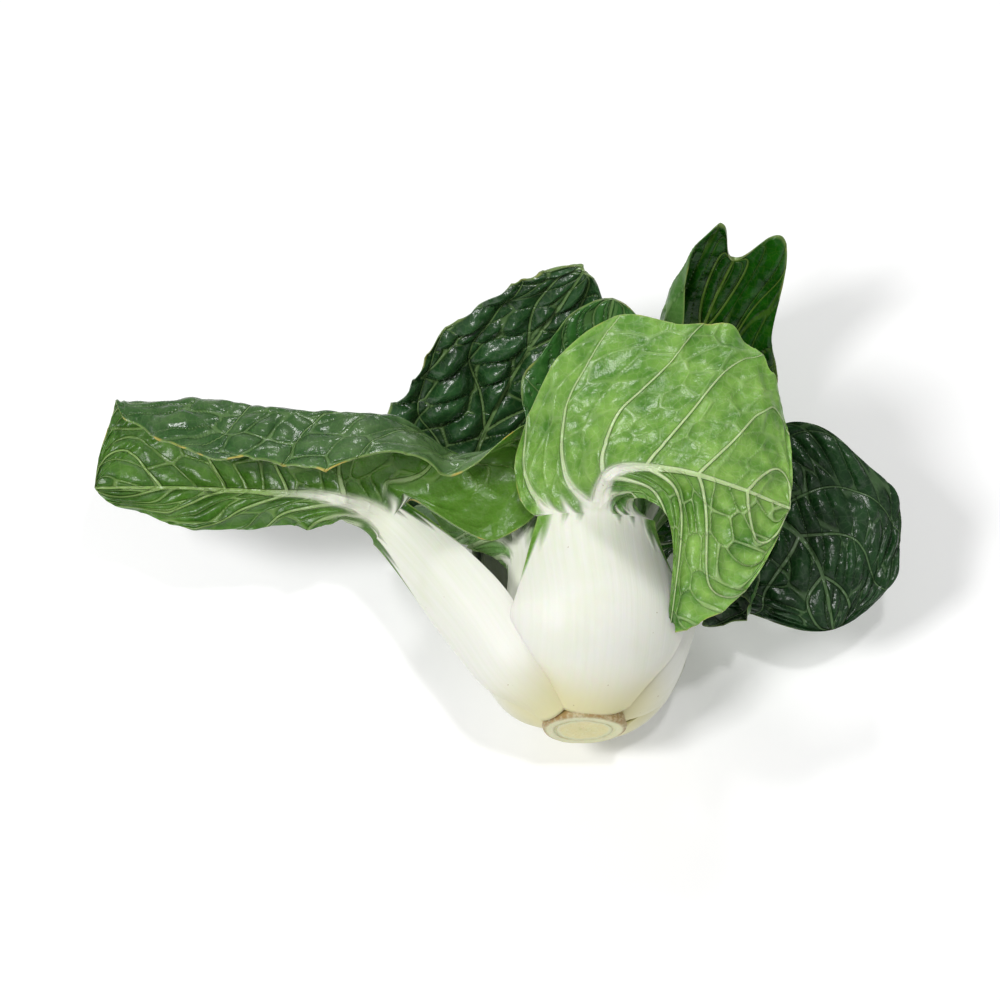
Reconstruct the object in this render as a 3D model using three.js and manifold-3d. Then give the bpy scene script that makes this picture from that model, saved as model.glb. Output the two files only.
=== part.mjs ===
// One head of dwarf white-stalked bok choy, as cut, lying on its side on a flat surface.
// Millimetres, +Z up. The cut foot points to -Y, the leaf tips to +Y, and X runs across the head.
// Every leaf is a fleshy white stalk that swells into the bulb, and a thin green blade that the
// stalk carries on as its midrib. The oldest leaves are outermost, and each wraps the younger ones.
import * as THREE from 'three';
import Module from 'manifold-3d';

const wasm = await Module();
wasm.setup();

// Lie of the head: the axis through the bulb rises gently from the foot to the tips
const AXIS_RISE = THREE.MathUtils.degToRad(6);
const FOOT_HEIGHT = 27.4;

// Stem: the short solid crown that the stalks grow from, cut flat below
const STEM_RADIUS = 11.5;
const STEM_CUT = -1.5;
const STEM_LENGTH = 17;

// Fit of one piece to the next
const GAP = 0.32;
const NECK_GAP = 0.015;

// Blade sheet
const SHEET = 0.9;
const STALK_EDGE = 1.5;
const RIB_PANELS = 5;
const RIB_SWEEP = 0.32;
const BASE_ROUND = 0.1;
const TIP_ROUND_FROM = 0.6;
const FOLD_WIDTH = 6;
const NOTCH_WIDTH = 7;
const LOBING = 0.045;
const SWEEP_OVER = 30;

// The surface it lies on flattens what would sink into it, blending over this height
const FLOOR_BLEND = 2;

// Stations along a leaf: foot, swell, belly and neck of the stalk, then four on the blade
const NECK = 3;
const TIP = 7;
const STALK_END = NECK - NECK_GAP;
const BLADE_START = NECK + NECK_GAP;

// The leaves, oldest first. Angles in degrees round the axis: 0 to the right, 90 up.
//   azimuth  side of the head that the stalk grows on, at its foot and at its neck
//   facing   where the outer face of the stalk has turned at the neck
//   foot     [out, along] where it leaves the stem         belly   how far out it swells
//   neck     [out, along] where the stalk ends             half    half width of the stalk at the belly
//   thick    stalk thickness at the belly                  rib     the midrib's four points on the blade
//   under    where the underside faces at those points     left, right  half widths, from the blade's base
//   curl     bend across the blade from its base, per mm: above 0 the margins turn to the upper side
//   fold     [side, angle, place, start, full]: a margin turned over, that far from the midrib, and where
//            along the blade the fold starts and is full, from 0 at its base to 1 at its tip
//   lobe     [left, right] how far the blade's base hangs back beside the stalk
//   sweep    how far the blade's right side trails back towards its base
//   notch    how far the tip is split, in stations
//   relief   height of the swell between the side ribs     ruffle  [height, waves, phase] of the margin
//   grid     [rows, columns] of the blade
const LEAVES = [
  {
    name: 'left',
    azimuth: [130, 162], facing: 126, foot: [12.5, -1], belly: 40, neck: [56, 52], half: 13, thick: 8,
    rib: [[-68, 53, 59], [-88, 55, 59], [-110, 58, 56], [-134, 62, 49]],
    under: [[-0.2, -0.6, 0.72], [-0.1, -0.7, 0.7], [0, -0.65, 0.75], [0, -0.6, 0.8]],
    left: [5, 8, 11, 12, 10], right: [40, 44, 47, 46, 40], curl: [0.01, 0.006, 0.004, 0.004, 0.006],
    fold: [1, -2.4, 24, 0.04, 0.2], lobe: [2, 22], sweep: 24, notch: 0,
    relief: 1.3, ruffle: [2, 2.6, 0.1], grid: [26, 20],
  },
  {
    name: 'under_right',
    azimuth: [293, 293], facing: 290, foot: [11, -1], belly: 35, neck: [31, 56], half: 25, thick: 8.5,
    rib: [[20, 79, 0], [30, 105, 2], [37, 127, 33], [52, 138, 83]],
    under: [[0.1, 0.1, -1], [0.05, 0.4, -0.92], [0.05, 0.85, -0.5], [0, 0.97, -0.25]],
    left: [20, 22, 26, 24, 19], right: [20, 24, 28, 24, 20], curl: [0.02, 0.02, 0.02, 0.02, 0.02],
    fold: [1, 2.75, 15, 0.3, 0.5], lobe: [3, 3], sweep: 0, notch: 0.5,
    relief: 1.2, ruffle: [2, 2.4, 0.4], grid: [24, 12],
  },
  {
    name: 'front',
    azimuth: [78, 82], facing: 84, foot: [10.5, -1], belly: 34.5, neck: [29, 50], half: 28, thick: 8.5,
    rib: [[8, 53, 73], [23, 50, 79], [39, 46, 77], [54, 44, 69]],
    under: [[-0.1, -0.5, 0.86], [0.1, -0.5, 0.86], [0.35, -0.45, 0.82], [0.6, -0.4, 0.7]],
    left: [22, 38, 44, 42, 36], right: [9, 9, 12, 48, 42], curl: [0.012, 0.012, 0.012, 0.014, 0.014],
    fold: [0, 0, 0, 0, 1], lobe: [2, 0], sweep: 0, notch: 0,
    relief: 1.3, ruffle: [2, 2.2, 0.2], grid: [26, 14],
  },
  {
    name: 'under_left',
    azimuth: [214, 214], facing: 222, foot: [10, 0.5], belly: 32, neck: [31, 54], half: 24, thick: 8,
    rib: [[-30, 76, 3], [-31, 97, 1], [-18, 115, 27], [1, 126, 62]],
    under: [[-0.2, 0.1, -1], [-0.05, 0.4, -0.95], [0, 0.8, -0.6], [0, 0.95, -0.3]],
    left: [20, 26, 30, 28, 24], right: [20, 24, 29, 28, 24], curl: [0.018, 0.016, 0.014, 0.01, 0.01],
    fold: [0, 0, 0, 0, 1], lobe: [3, 3], sweep: 0, notch: 0,
    relief: 2, ruffle: [2.6, 2.8, 0.7], grid: [22, 12],
  },
  {
    name: 'right',
    azimuth: [352, 352], facing: 350, foot: [10, 1.5], belly: 31, neck: [37, 54], half: 23, thick: 8,
    rib: [[46, 57, 37], [56, 55, 41], [65, 44, 38], [69, 29, 28]],
    under: [[0.75, 0.1, -0.65], [0.5, 0.1, -0.85], [0.2, -0.1, -0.95], [-0.2, -0.2, -0.95]],
    left: [18, 26, 34, 34, 28], right: [18, 24, 28, 28, 24], curl: [0.016, 0.016, 0.004, -0.012, -0.018],
    fold: [0, 0, 0, 0, 1], lobe: [2, 2], sweep: 0, notch: 0,
    relief: 1.3, ruffle: [2.4, 2.5, 0.5], grid: [20, 10],
  },
  {
    name: 'inner_left',
    azimuth: [142, 142], facing: 138, foot: [8.5, 4], belly: 23, neck: [22, 45], half: 15, thick: 6.5,
    rib: [[-20, 56, 44], [-25, 65, 41], [-28, 73, 37], [-30, 80, 33]],
    under: [[-0.4, -0.2, 0.9], [-0.3, -0.2, 0.9], [-0.2, -0.1, 1], [-0.1, 0.2, 1]],
    left: [12, 14, 18, 18, 15], right: [12, 14, 15, 13, 11], curl: [0.03, 0.03, 0.02, 0.016, 0.016],
    fold: [0, 0, 0, 0, 1], lobe: [2, 2], sweep: 0, notch: 0,
    relief: 1, ruffle: [1.4, 2.2, 0.3], grid: [14, 8],
  },
  {
    name: 'inner_under',
    azimuth: [262, 262], facing: 262, foot: [8.5, 5.5], belly: 21, neck: [19, 48], half: 16, thick: 6.5,
    rib: [[-1, 67, 24], [2, 85, 35], [5, 101, 49], [9, 114, 65]],
    under: [[-0.1, 0.2, -1], [0, 0.45, -0.9], [0, 0.6, -0.8], [0, 0.7, -0.7]],
    left: [13, 16, 20, 20, 17], right: [13, 16, 20, 20, 17], curl: [0.03, 0.03, 0.024, 0.02, 0.02],
    fold: [0, 0, 0, 0, 1], lobe: [2, 2], sweep: 0, notch: 0,
    relief: 1, ruffle: [1.4, 2.4, 0.6], grid: [14, 8],
  },
  {
    name: 'inner_right',
    azimuth: [35, 35], facing: 35, foot: [7.5, 7], belly: 19, neck: [18, 46], half: 14, thick: 6,
    rib: [[22, 60, 52], [28, 75, 56], [32, 89, 57], [34, 101, 54]],
    under: [[0.7, -0.1, 0.6], [0.6, -0.1, 0.75], [0.4, 0, 0.9], [0.3, 0.2, 0.9]],
    left: [12, 14, 16, 16, 13], right: [12, 14, 16, 15, 13], curl: [0.034, 0.034, 0.024, 0.02, 0.02],
    fold: [0, 0, 0, 0, 1], lobe: [2, 2], sweep: 0, notch: 0,
    relief: 1, ruffle: [1.4, 2.2, 0.8], grid: [14, 8],
  },
  {
    name: 'heart_left',
    azimuth: [176, 176], facing: 176, foot: [5, 10], belly: 10.5, neck: [8, 38], half: 9, thick: 4,
    rib: [[-7, 49, 36], [-6, 59, 37], [-5, 68, 38], [-4, 76, 38]],
    under: [[-1, -0.1, 0.1], [-0.95, -0.1, 0.2], [-0.9, -0.1, 0.4], [-0.9, 0, 0.5]],
    left: [6, 7, 10, 10, 8], right: [6, 7, 10, 10, 8], curl: [0.07, 0.07, 0.06, 0.05, 0.05],
    fold: [0, 0, 0, 0, 1], lobe: [1, 1], sweep: 0, notch: 0,
    relief: 0.5, ruffle: [0.6, 2, 0], grid: [10, 6],
  },
  {
    name: 'heart_right',
    azimuth: [318, 318], facing: 318, foot: [4.5, 11], belly: 8, neck: [6, 36], half: 7, thick: 3.5,
    rib: [[6, 46, 33], [7, 55, 35], [7, 64, 37], [6, 72, 39]],
    under: [[0.8, 0.1, -0.6], [0.8, 0.1, -0.6], [0.9, 0, -0.4], [0.9, 0, -0.4]],
    left: [5, 6, 8, 8, 6], right: [5, 6, 8, 8, 6], curl: [0.08, 0.08, 0.07, 0.06, 0.06],
    fold: [0, 0, 0, 0, 1], lobe: [1, 1], sweep: 0, notch: 0,
    relief: 0.4, ruffle: [0.5, 2, 0.5], grid: [10, 6],
  },
];
const STALK_GRID = [9, 8];

// Colours of the living pieces
const WHITE_STALK = { color: 0xf1f2e2, roughness: 0.42, metalness: 0 };
const GREEN_BLADE = { color: 0x2f7a2c, roughness: 0.45, metalness: 0 };
const YOUNG_BLADE = { color: 0x7ab648, roughness: 0.45, metalness: 0 };
const CUT_STEM = { color: 0xe9e6b8, roughness: 0.6, metalness: 0 };

// Directions of the head: along the axis, and outwards at an angle round it
const AXIS = new THREE.Vector3(0, Math.cos(AXIS_RISE), Math.sin(AXIS_RISE));
const RIGHT = new THREE.Vector3(1, 0, 0);
const UPWARD = new THREE.Vector3().crossVectors(RIGHT, AXIS);

function outward(angle) {
  const a = THREE.MathUtils.degToRad(angle);
  return RIGHT.clone().multiplyScalar(Math.cos(a)).addScaledVector(UPWARD, Math.sin(a));
}

function headPoint(angle, out, along) {
  return new THREE.Vector3(0, 0, FOOT_HEIGHT)
    .addScaledVector(AXIS, along)
    .addScaledVector(outward(angle), out);
}

// A leaf as curves through its stations, each value a triple
function leafCurves(leaf) {
  const [footOut, footAlong] = leaf.foot;
  const [neckOut, neckAlong] = leaf.neck;
  const length = neckAlong - footAlong;
  const swellOut = footOut + 0.62 * (leaf.belly - footOut);
  const curve = (points) => new THREE.CatmullRomCurve3(points, false, 'catmullrom', 0.5);
  const triple = (v) => new THREE.Vector3(...v);
  const { half, thick } = leaf;
  const STALK_SHARES = [0, 0.14, 0.5, 1];
  const stalkOut = [footOut, swellOut, leaf.belly, neckOut];
  return {
    rib: curve(STALK_SHARES.map((share, i) => headPoint(
      THREE.MathUtils.lerp(leaf.azimuth[0], leaf.azimuth[1], share),
      stalkOut[i],
      footAlong + share * length,
    )).concat(leaf.rib.map(triple))),
    under: curve(STALK_SHARES.map((share) => outward(THREE.MathUtils.lerp(leaf.azimuth[0], leaf.facing, share)))
      .concat(leaf.under.map((v) => triple(v).normalize()))),
    // half width of the stalk, which the blade carries on as its midrib, and the bend across it
    stalk: curve([[0.42, 1.7], [0.84, 1.1], [1, 0.92], [0.62, 1.1], [0.3, 0.6], [0.2, 0.3], [0.14, 0.2], [0.1, 0.1]]
      .map(([width, bend]) => new THREE.Vector3(width * half, bend / half, 0))),
    // half width of the blade to the left and right, and the bend across it beyond the midrib
    blade: curve(leaf.curl.map((bend, i) => new THREE.Vector3(leaf.left[i], leaf.right[i], bend))),
    // thickness at the midrib, half width of the thick part, and how far it stands out below
    flesh: curve([
      [0.5 * thick, 0.36 * half, 0], [0.95 * thick, 0.82 * half, 0], [thick, half, 0],
      [0.62 * thick, 0.62 * half, 0], [1.6, 0.28 * half, 0.06 * half], [SHEET, 0.18 * half, 0.06 * half],
      [SHEET, 0.13 * half, 0.045 * half], [SHEET, 0.08 * half, 0.02 * half],
    ].map(triple)),
  };
}

function at(curve, share) {
  return curve.getPoint(THREE.MathUtils.clamp(share, 0, 1));
}

function blend(x, from, to) {
  return THREE.MathUtils.smoothstep(x, from, to);
}

// What would sink into the surface below lies flat on it at height rest
function layDown(point, rest) {
  const y = point.z - rest;
  if (y < FLOOR_BLEND) {
    point.z = rest + (y > -FLOOR_BLEND ? (y + FLOOR_BLEND) ** 2 / (4 * FLOOR_BLEND) : 0);
  }
  return point;
}

// The two faces of a leaf at a station, and at v from -1 at the left margin to 1 at the right. A stalk
// can be grown on all sides: end is -1 at its foot and 1 at its neck, and 0 between
function leafFaces(leaf, curves, station, v, grow, end) {
  const sign = v < 0 ? -1 : 1;
  const edge = Math.abs(v);
  const t = Math.max(0, (station - BLADE_START) / (TIP - BLADE_START));
  const stalk = at(curves.stalk, station / TIP);
  const blade = at(curves.blade, t);
  const open = t < BASE_ROUND ? Math.sqrt(1 - (1 - t / BASE_ROUND) ** 2) : 1;
  const roundOff = Math.max(0, (t - TIP_ROUND_FROM) / (1 - TIP_ROUND_FROM));
  const close = Math.sqrt(Math.max(0, 1 - roundOff ** 2));
  const wide = THREE.MathUtils.lerp(at(curves.stalk, Math.min(station, NECK) / TIP).x, v < 0 ? blade.x : blade.y, open);
  const lobing = 1 + LOBING * open * Math.sin(2 * Math.PI * (1.7 * leaf.ruffle[1] * t + 2 * leaf.ruffle[2] + 0.3 * sign));
  const reach = wide * close * lobing + grow;
  const q = edge * reach;

  // Frame at the midrib. A split tip draws the stations back between its lobes
  const split = leaf.notch * Math.exp(-((q / NOTCH_WIDTH) ** 2)) * blend(t, 0.6, 1);
  const place = (station - split) / TIP;
  const step = 0.05;
  const rib = at(curves.rib, place);
  const along = at(curves.rib, place + step).sub(at(curves.rib, place - step)).normalize();
  const under = at(curves.under, place);
  under.addScaledVector(along, -under.dot(along)).normalize();
  const across = new THREE.Vector3().crossVectors(along, under);

  // Walk across from the midrib to q, turning as the section bends
  const [foldSide, foldAngle, foldPlace, foldStart, foldFull] = leaf.fold;
  const folded = foldSide === sign ? foldAngle * blend(t, foldStart, foldFull) : 0;
  const heading = (x) => stalk.y * Math.min(x, stalk.x) + blade.z * Math.max(0, x - stalk.x)
    + folded * blend(x, foldPlace - FOLD_WIDTH, foldPlace + FOLD_WIDTH);
  const surface = rib.clone().addScaledVector(along, end * grow);
  const STEPS = 12;
  for (let i = 0; i < STEPS; i += 1) {
    const turn = heading(((i + 0.5) / STEPS) * q);
    surface.addScaledVector(across, (sign * Math.cos(turn) * q) / STEPS);
    surface.addScaledVector(under, (-Math.sin(turn) * q) / STEPS);
  }
  const normal = under.clone().multiplyScalar(Math.cos(heading(q)))
    .addScaledVector(across, sign * Math.sin(heading(q)));

  // The blade's base hangs back beside the stalk, and its side may trail back as well
  const hang = leaf.lobe[v < 0 ? 0 : 1] * Math.max(0, 1 - t / 0.22) ** 2 * blend(q, stalk.x + 1.5, stalk.x + 11);
  const trail = v < 0 ? 0 : leaf.sweep * (1 - t) ** 1.5 * blend(q, stalk.x + 2, SWEEP_OVER)
    * (0.6 + 0.4 * blend(t, 0, 0.12));
  if (t > 0) {
    surface.addScaledVector(along, -hang - trail)
      .addScaledVector(normal, 0.5 * hang + 0.4 * trail)
      .addScaledVector(across, 0.3 * trail - 0.5 * sign * hang);
  }

  // Panels swell to the upper side between the side ribs, and the margin waves
  const panel = 0.5 - 0.5 * Math.cos(2 * Math.PI * RIB_PANELS * (t - RIB_SWEEP * edge));
  const [height, waves, phase] = leaf.ruffle;
  const wave = height * edge ** 2.5 * Math.sin(2 * Math.PI * (waves * t + phase + (v < 0 ? 0.37 : 0)));
  const swell = leaf.relief * panel * Math.min(1, 4 * edge) * (1 - 0.4 * edge);
  surface.addScaledVector(normal, blend(t, 0.02, 0.2) * close * (wave - swell));

  const flesh = at(curves.flesh, station / TIP);
  const inRib = Math.max(0, 1 - (q / flesh.y) ** 2.5);
  const thin = THREE.MathUtils.lerp(STALK_EDGE, SHEET, blend(station, 2, NECK + 0.6));
  const inside = thin + Math.max(0, flesh.x - thin) * inRib + grow;
  const outside = flesh.z * inRib + grow;
  const outer = surface.clone().addScaledVector(normal, outside);
  const inner = surface.clone().addScaledVector(normal, -inside);
  if (under.z < 0) {
    layDown(outer, 0);
    layDown(inner, Math.min(inside, SHEET + 0.5));
  }
  return { outer, inner };
}

// A closed solid between the two faces of a leaf, from one station to another
function leafSolid(leaf, curves, from, to, [rows, columns], grow = 0) {
  const pointed = to >= TIP;
  const positions = [];
  const index = { outer: [], inner: [] };
  for (let r = 0; r <= rows; r += 1) {
    const tip = pointed && r === rows;
    const share = r / rows - (pointed ? 0.1 * Math.sin((2 * Math.PI * r) / rows) : 0);
    const end = Number(r === rows) - Number(r === 0);
    for (const face of ['outer', 'inner']) index[face].push([]);
    for (let c = 0; c <= columns; c += 1) {
      const faces = leafFaces(leaf, curves, from + (to - from) * share, (2 * c) / columns - 1, grow, end);
      for (const face of ['outer', 'inner']) {
        if (tip && c > 0) {
          index[face][r].push(index[face][r][0]);
        } else {
          index[face][r].push(positions.length / 3);
          positions.push(...faces[face].toArray());
        }
      }
    }
  }
  const triangles = [];
  const quad = (a, b, c, d) => {
    if (a !== b && b !== c && a !== c) triangles.push(a, b, c);
    if (a !== c && c !== d && a !== d) triangles.push(a, c, d);
  };
  const { outer, inner } = index;
  for (let r = 0; r < rows; r += 1) {
    for (let c = 0; c < columns; c += 1) {
      quad(outer[r][c], outer[r][c + 1], outer[r + 1][c + 1], outer[r + 1][c]);
      // the same diagonal, seen from the other face
      quad(inner[r + 1][c + 1], inner[r][c + 1], inner[r][c], inner[r + 1][c]);
    }
    quad(outer[r][0], outer[r + 1][0], inner[r + 1][0], inner[r][0]);
    quad(outer[r][columns], inner[r][columns], inner[r + 1][columns], outer[r + 1][columns]);
  }
  for (let c = 0; c < columns; c += 1) {
    quad(outer[0][c], inner[0][c], inner[0][c + 1], outer[0][c + 1]);
    quad(outer[rows][c], outer[rows][c + 1], inner[rows][c + 1], inner[rows][c]);
  }
  return new wasm.Manifold(new wasm.Mesh({
    numProp: 3,
    vertProperties: new Float32Array(positions),
    triVerts: new Uint32Array(triangles),
  }));
}

// The crown, turned round the axis: a flat cut below, and a blunt top that the youngest leaves sit on
function stemGeometry(grow = 0) {
  const profile = [
    [0, STEM_CUT], [STEM_RADIUS - 1, STEM_CUT], [STEM_RADIUS, STEM_CUT + 1.2], [STEM_RADIUS - 0.6, 2],
    [9, 6], [6.5, 10], [4, STEM_LENGTH - 4], [0, STEM_LENGTH - 2],
  ].map(([radius, along], i, all) => new THREE.Vector2(
    i === 0 || i === all.length - 1 ? 0 : radius + grow,
    along + (i < 2 ? -grow : grow),
  ));
  const lathe = new THREE.LatheGeometry(profile, 20);
  lathe.rotateX(AXIS_RISE);
  return lathe.translate(0, 0, FOOT_HEIGHT);
}

function geometrySolid(geometry) {
  const source = geometry.index ? geometry.toNonIndexed() : geometry;
  const key = new Map();
  const positions = [];
  const triangles = [];
  const corners = source.getAttribute('position');
  for (let i = 0; i < corners.count; i += 1) {
    const point = [corners.getX(i), corners.getY(i), corners.getZ(i)];
    const name = point.map((x) => Math.round(x * 1000)).join();
    if (!key.has(name)) {
      key.set(name, positions.length / 3);
      positions.push(...point);
    }
    triangles.push(key.get(name));
  }
  const kept = [];
  for (let i = 0; i < triangles.length; i += 3) {
    const [a, b, c] = triangles.slice(i, i + 3);
    if (a !== b && b !== c && a !== c) kept.push(a, b, c);
  }
  return new wasm.Manifold(new wasm.Mesh({
    numProp: 3,
    vertProperties: new Float32Array(positions),
    triVerts: new Uint32Array(kept),
  }));
}

// A cut can leave crumbs: only the largest body is the piece
function mainBody(solid) {
  return solid.decompose().reduce((best, body) => (body.volume() > best.volume() ? body : best));
}

function solidMesh(name, solid, look) {
  const made = solid.getMesh();
  const positions = new Float32Array(made.numVert * 3);
  for (let i = 0; i < made.numVert; i += 1) {
    for (let k = 0; k < 3; k += 1) positions[3 * i + k] = made.vertProperties[i * made.numProp + k];
  }
  const geometry = new THREE.BufferGeometry();
  geometry.setAttribute('position', new THREE.BufferAttribute(positions, 3));
  geometry.setIndex(new THREE.BufferAttribute(new Uint32Array(made.triVerts), 1));
  geometry.computeVertexNormals();
  const mesh = new THREE.Mesh(geometry, new THREE.MeshStandardMaterial({ ...look, flatShading: true }));
  mesh.name = name;
  return mesh;
}

// The head: each stalk is cut to fit round the stem and all the younger stalks, and a blade's base
// round its own stalk
const head = new THREE.Group();
head.add(solidMesh('stem', geometrySolid(stemGeometry()), CUT_STEM));
let younger = geometrySolid(stemGeometry(1.6 * GAP));
for (const leaf of [...LEAVES].reverse()) {
  const curves = leafCurves(leaf);
  const room = leafSolid(leaf, curves, 0, STALK_END, STALK_GRID, GAP);
  const stalk = leafSolid(leaf, curves, 0, STALK_END, STALK_GRID).subtract(younger);
  const blade = leafSolid(leaf, curves, BLADE_START, TIP, leaf.grid).subtract(room);
  const young = leaf.name === 'front' || leaf.name.startsWith('heart');
  head.add(solidMesh(`stalk_${leaf.name}`, mainBody(stalk), WHITE_STALK));
  head.add(solidMesh(`blade_${leaf.name}`, mainBody(blade), young ? YOUNG_BLADE : GREEN_BLADE));
  younger = younger.add(room);
}

// The origin is under the middle of the head, on the surface that it lies on
const box = new THREE.Box3().setFromObject(head);
const middle = box.getCenter(new THREE.Vector3());
head.position.set(-middle.x, -middle.y, -box.min.z);

export default head;
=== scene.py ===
import math

import bmesh
import bpy
import numpy as np
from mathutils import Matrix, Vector


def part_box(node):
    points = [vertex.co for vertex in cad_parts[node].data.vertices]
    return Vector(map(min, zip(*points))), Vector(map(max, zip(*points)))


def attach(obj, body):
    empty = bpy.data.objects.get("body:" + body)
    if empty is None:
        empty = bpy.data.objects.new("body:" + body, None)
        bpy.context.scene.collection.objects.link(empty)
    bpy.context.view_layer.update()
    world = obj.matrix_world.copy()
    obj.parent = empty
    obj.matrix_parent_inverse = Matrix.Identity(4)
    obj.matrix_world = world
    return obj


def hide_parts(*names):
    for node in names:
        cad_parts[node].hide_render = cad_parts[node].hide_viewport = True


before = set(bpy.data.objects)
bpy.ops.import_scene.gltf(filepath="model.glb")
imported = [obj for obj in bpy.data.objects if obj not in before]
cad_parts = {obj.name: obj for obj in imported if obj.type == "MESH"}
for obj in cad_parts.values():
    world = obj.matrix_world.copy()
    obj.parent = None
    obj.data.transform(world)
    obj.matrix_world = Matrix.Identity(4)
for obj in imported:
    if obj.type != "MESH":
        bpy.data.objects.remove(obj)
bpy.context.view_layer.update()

# Cut stem: the short solid crown that every leaf grows from, sliced across when the head was
# picked. The slice is damp and cream, with a ring where the leaf bases join the pith, and its
# rim has dried to a thin brown line.

# Sizes are in mm. AXIS runs along the head as it lies, from its foot, and RIGHT and UPWARD across
MM_PER_M = 1000
AXIS_RISE = math.radians(6)
AXIS = np.array([0, math.cos(AXIS_RISE), math.sin(AXIS_RISE)])
UPWARD = np.array([0, -math.sin(AXIS_RISE), math.cos(AXIS_RISE)])
RIGHT = np.array([1.0, 0, 0])
FOOT = np.array([0, 0, 27.4])
STEM_TOP = 15
STEM_RADIUS = 11.0
STEM_TURNS = 96
# The stem's outline: how far out, and how far along the axis, from its rim to its top
STEM_SIDE = [(10.4, -1.5), (11.2, -1.1), (11.5, -0.3), (10.9, 2), (9, 6), (6.5, 10), (4, 13), (2, 14.5)]
# The slice: its place along the axis, its rings, its marks of the knife, and how far it is hollow
SLICE_AT = -1.5
SLICE_RADII = np.linspace(0.5, 9.9, 20)
KNIFE_MARKS = 0.3
MARKED_BELOW = -1.2
HOLLOW = 0.4
HOLLOW_RADIUS = 10
PITH = (0.78, 0.72, 0.36, 1)
LEAF_BASES = (0.74, 0.74, 0.46, 1)
RING_OLIVE = (0.5, 0.46, 0.13, 1)
DRIED_RIM = (0.34, 0.22, 0.07, 1)
FIBRES = (0.85, 0.84, 0.6, 1)
low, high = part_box("stem")
HEAD_AT = np.array([MM_PER_M * (low.x + high.x) / 2, MM_PER_M * high.y - STEM_TOP * AXIS[1], 0])


class Tone:
    """A value or colour in a material. Sums on it add Math nodes, and node adds any other kind."""

    def __init__(self, tree, socket=None):
        self.tree = tree
        self.socket = socket

    def node(self, kind, settings, inputs, output=0):
        """Any node: its settings are set first, then its sockets get their values or links."""
        made = self.tree.nodes.new("ShaderNode" + kind)
        for name, value in settings.items():
            setattr(made, name, value)
        for name, value in inputs.items():
            if isinstance(value, Tone):
                self.tree.links.new(value.socket, made.inputs[name])
            else:
                made.inputs[name].default_value = value
        return Tone(self.tree, made.outputs[output])

    def math(self, operation, a, b=0.0):
        return self.node("Math", {"operation": operation}, {0: a, 1: b})

    def __add__(self, other):
        return self.math("ADD", self, other)

    def __sub__(self, other):
        return self.math("SUBTRACT", self, other)

    def __rsub__(self, other):
        return self.math("SUBTRACT", other, self)

    def __mul__(self, other):
        return self.math("MULTIPLY", self, other)

    __radd__ = __add__
    __rmul__ = __mul__

    def between(self, start, end):
        """0 up to start, 1 from end on, and smooth between."""
        ends = {"Value": self, "From Min": start, "From Max": end}
        return self.node("MapRange", {"interpolation_type": "SMOOTHSTEP"}, ends)

    def mix(self, first, second):
        """The first colour where this is 0 and the second where it is 1."""
        return self.node("Mix", {"data_type": "RGBA"}, {0: self, 6: first, 7: second}, 2)

    def beyond_half(self):
        """How far this is from the nearest whole number."""
        return self.math("ABSOLUTE", self.math("FRACT", self + 0.5) - 0.5)

    def stored(self, name):
        """The number that the mesh holds under this name at each point."""
        return self.node("Attribute", {"attribute_name": name}, {}, 2)

    def cell_edges(self, place, scale):
        return self.node("TexVoronoi", {"feature": "DISTANCE_TO_EDGE"}, {"Vector": place, "Scale": scale})

    def noise(self, place, scale, detail=3.0, roughness=0.55):
        inputs = {"Vector": place, "Scale": scale, "Detail": detail, "Roughness": roughness}
        return self.node("TexNoise", {}, inputs)

    def stretched(self, place, factors):
        return self.node("VectorMath", {"operation": "MULTIPLY"}, {0: place, 1: factors})

    def bump(self, height, distance, strength=1.0):
        return self.node("Bump", {}, {"Height": height, "Distance": distance, "Strength": strength})

    def feed(self, shader, socket):
        """Links this to a socket of the shader."""
        self.tree.links.new(self.socket, shader.inputs[socket])


def material(name, **fixed):
    """A new material: where its nodes go, its object coordinates, and its Principled shader."""
    made = bpy.data.materials.new(name)
    made.use_nodes = True
    shader = made.node_tree.nodes["Principled BSDF"]
    for socket, value in fixed.items():
        shader.inputs[socket.replace("_", " ")].default_value = value
    start = Tone(made.node_tree)
    return made, start, start.node("TexCoord", {}, {}, 3), shader


def surface(name, points, faces, finish, values=None):
    """A smooth mesh from points in mm, with an attribute for each named value."""
    mesh = bpy.data.meshes.new(name)
    mesh.from_pydata((points / MM_PER_M).tolist(), [], faces)
    for key, value in (values or {}).items():
        kind, field = ("FLOAT_VECTOR", "vector") if value.ndim == 2 else ("FLOAT", "value")
        layer = mesh.attributes.new(key, kind, "POINT")
        layer.data.foreach_set(field, value.astype(np.float32).ravel())
    mesh.materials.append(finish)
    mesh.polygons.foreach_set("use_smooth", np.ones(len(mesh.polygons), bool))
    mesh.update()
    piece = bpy.data.objects.new(name, mesh)
    bpy.context.scene.collection.objects.link(piece)
    return piece


stem_finish, ask, place, shader = material(
    "cut stem", Roughness=0.5, Subsurface_Weight=0.2, Subsurface_Scale=0.003
)
ring = ask.stored("radius")
fibre = ask.noise(place, 900)
cloud = ask.noise(place, 160)
beyond_pith = (ring + 0.12 * cloud).between(0.62, 0.7)
line = ring.between(0.66, 0.71) * (1 - ring.between(0.71, 0.78))
colour = beyond_pith.mix(PITH, LEAF_BASES)
colour = (0.7 * line * cloud.between(0.3, 0.6)).mix(colour, RING_OLIVE)
colour = (ring.between(0.9, 1.0) * (0.4 + cloud)).mix(colour, DRIED_RIM)
colour = (0.35 * fibre.between(0.45, 0.7)).mix(colour, FIBRES)
colour.feed(shader, "Base Color")
ask.bump(fibre + line, 0.0004).feed(shader, "Normal")

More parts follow.
